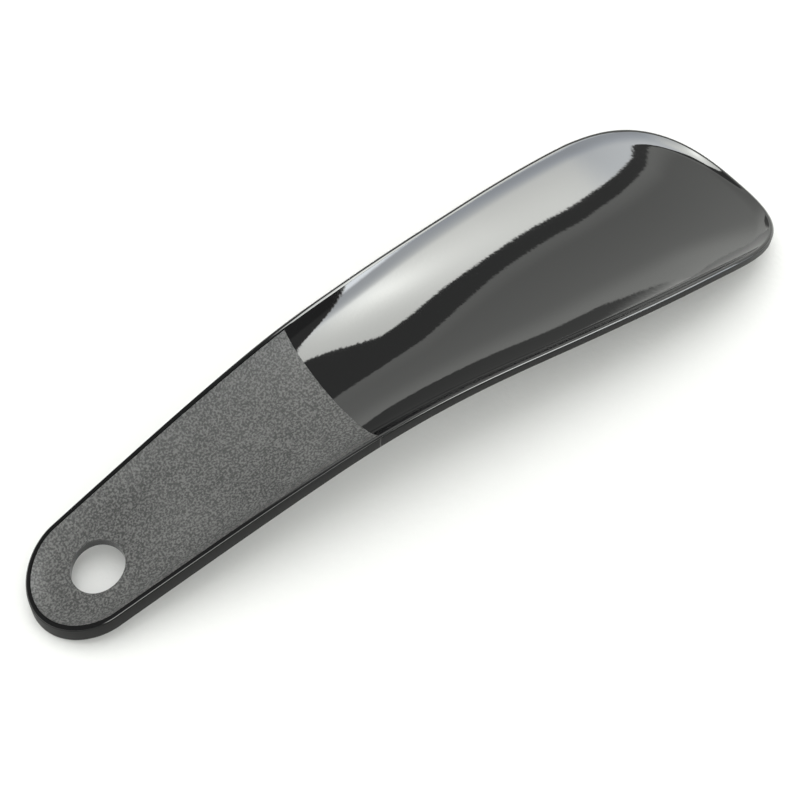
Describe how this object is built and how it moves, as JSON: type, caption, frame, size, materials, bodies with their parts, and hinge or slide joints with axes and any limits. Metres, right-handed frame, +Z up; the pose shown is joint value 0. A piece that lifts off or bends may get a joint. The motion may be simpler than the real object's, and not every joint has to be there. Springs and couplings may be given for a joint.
{
  "type": "hand shoehorn",
  "caption": "Hand shoehorn with a dished glossy blade, a matt grip and a hang hole, arched along its length.",
  "frame": {"origin": "middle of the footprint, on the surface the shoehorn lies on", "axes": "+X from the hang hole end to the blade tip, +Y across to the left seen from above, +Z up, with the trough facing up"},
  "size_m": [0.185, 0.0464, 0.0224],
  "materials": {
    "gloss_shell": "gloss",
    "matt_grip": "matte"
  },
  "bodies": {
    "root": {"handle": "gloss_shell", "grip_panel": "matt_grip", "blade": "gloss_shell", "handle_bead_edge": "gloss_shell", "blade_bead_edge": "gloss_shell"}
  },
  "joints": []
}
